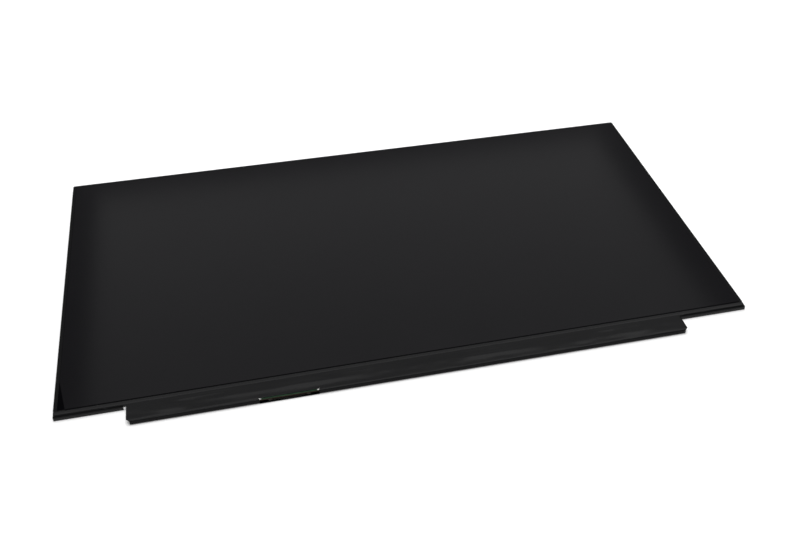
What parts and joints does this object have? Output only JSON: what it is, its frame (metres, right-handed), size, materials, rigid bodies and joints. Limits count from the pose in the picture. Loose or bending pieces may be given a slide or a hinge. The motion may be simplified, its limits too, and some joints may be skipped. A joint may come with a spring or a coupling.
{
  "type": "laptop screen panel",
  "caption": "Slim edge-lit laptop screen panel without brackets, with its board strip under a folded black film.",
  "frame": {"origin": "under the middle of the outline, on the plane that the back rests on", "axes": "+X left to right across the picture, +Y from the board strip to the picture's top, +Z out of the picture"},
  "size_m": [0.3506, 0.2162, 0.003],
  "materials": {
    "cover_aluminium": "satin",
    "frame_white": "matte",
    "optical_clear": "gloss",
    "flex_amber": "satin",
    "led_package": "matte",
    "tape_black": "matte",
    "film_black": "satin",
    "polarizer_matte": "matte",
    "cell_glass": "gloss",
    "board_green": "gloss",
    "solder_tin": "satin",
    "socket_plastic": "matte",
    "shell_steel": "satin",
    "contact_brass": "satin",
    "chip_black": "matte",
    "ceramic_tan": "matte"
  },
  "bodies": {
    "root": {"array_glass": "cell_glass", "back_cover": "cover_aluminium", "backlight_chip": "chip_black", "board_capacitors": "ceramic_tan", "board_film": "film_black", "board_resistors": "chip_black", "bond_tape": "tape_black", "colour_filter_glass": "cell_glass", "control_board": "board_green", "diffuser_sheet": "optical_clear", "driver_chip_1": "chip_black", "driver_chip_2": "chip_black", "driver_chip_3": "chip_black", "driver_chip_4": "chip_black", "driver_film_1": "flex_amber", "driver_film_2": "flex_amber", "driver_film_3": "flex_amber", "driver_film_4": "flex_amber", "edge_tape_far": "tape_black", "edge_tape_left": "tape_black", "edge_tape_right": "tape_black", "front_polarizer": "polarizer_matte", "ground_pads": "solder_tin", "light_bar_flex": "flex_amber", "light_bar_leds": "led_package", "light_guide": "optical_clear", "lower_prism_sheet": "optical_clear", "memory_chip": "chip_black", "mould_frame": "frame_white", "power_chip": "chip_black", "power_inductors": "chip_black", "rear_polarizer": "polarizer_matte", "reflector_sheet": "frame_white", "socket_contacts": "contact_brass", "socket_housing": "socket_plastic", "socket_shell": "shell_steel", "timing_controller": "chip_black", "upper_prism_sheet": "optical_clear"}
  },
  "joints": []
}
